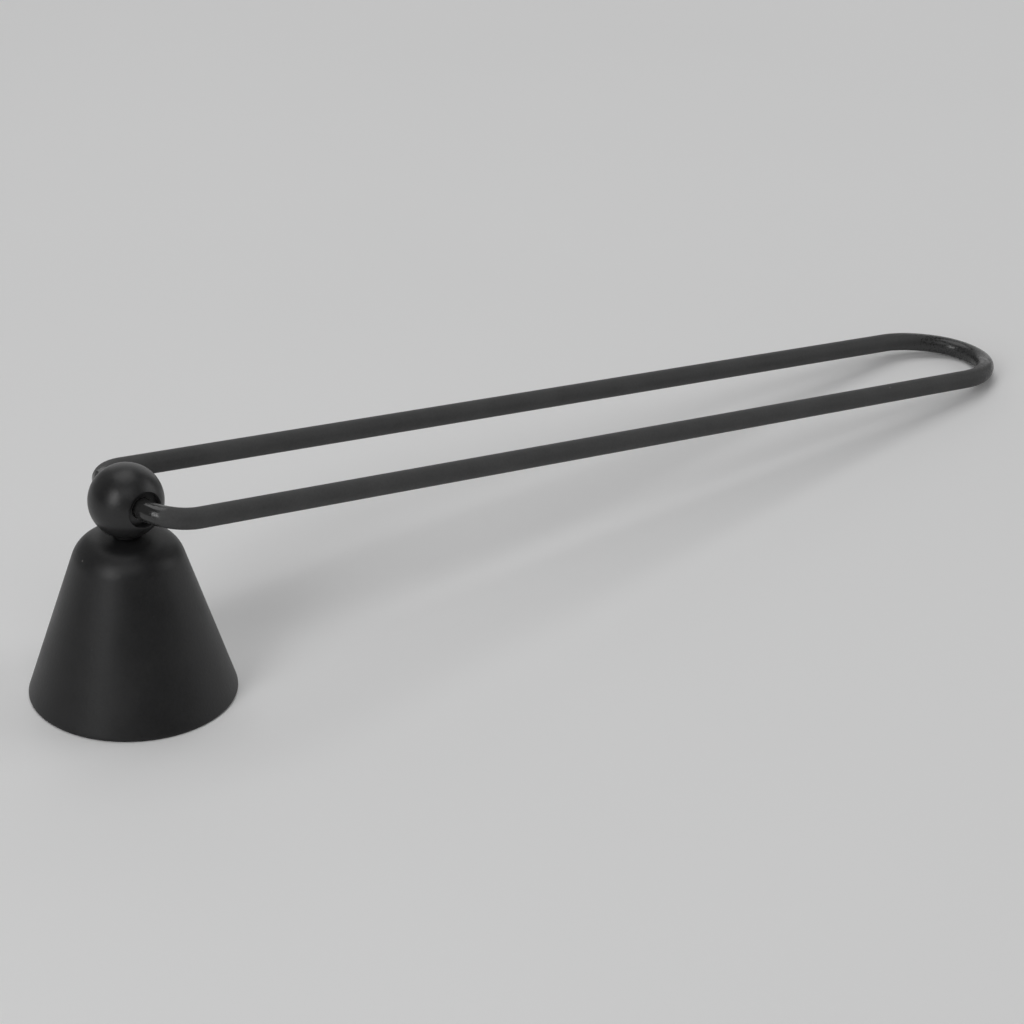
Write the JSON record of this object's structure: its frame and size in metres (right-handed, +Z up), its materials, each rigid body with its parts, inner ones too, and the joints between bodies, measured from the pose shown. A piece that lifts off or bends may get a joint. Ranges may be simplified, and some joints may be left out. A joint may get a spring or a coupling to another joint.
{
  "type": "candle snuffer",
  "caption": "Matte black candle snuffer: a small conical bell topped by a ball, with a long wire-loop handle that pivots in the ball to put out a flame from a distance.",
  "frame": {"origin": "centre of the bell's open rim, in the rim's plane", "axes": "+X along the handle from the pivot to the far end of the loop, Y along the pivot axis, +Z up out of the rim"},
  "size_m": [0.1907, 0.029, 0.0347],
  "materials": {
    "bell_black_coat": "matte powder coat",
    "ball_black_coat": "satin black coat",
    "wire_black_coat": "satin black coat, polished where it rubs in the ball",
    "screw_zinc_steel": "zinc plated",
    "washer_zinc_steel": "zinc plated",
    "spring_steel": "bright spring steel"
  },
  "bodies": {
    "head": {"snuffer_bell": "bell_black_coat", "pivot_ball": "ball_black_coat", "bell_screw": "screw_zinc_steel", "flat_washer": "washer_zinc_steel", "spring_lock_washer": "spring_steel"},
    "handle": {"handle_loop": "wire_black_coat"}
  },
  "joints": [
    {"name": "handle_swing", "type": "hinge", "parent": "head", "child": "handle", "pos_m": [0, 0, 0.02975], "axis": [0, -1, 0], "range_deg": [-54, 252]}
  ]
}
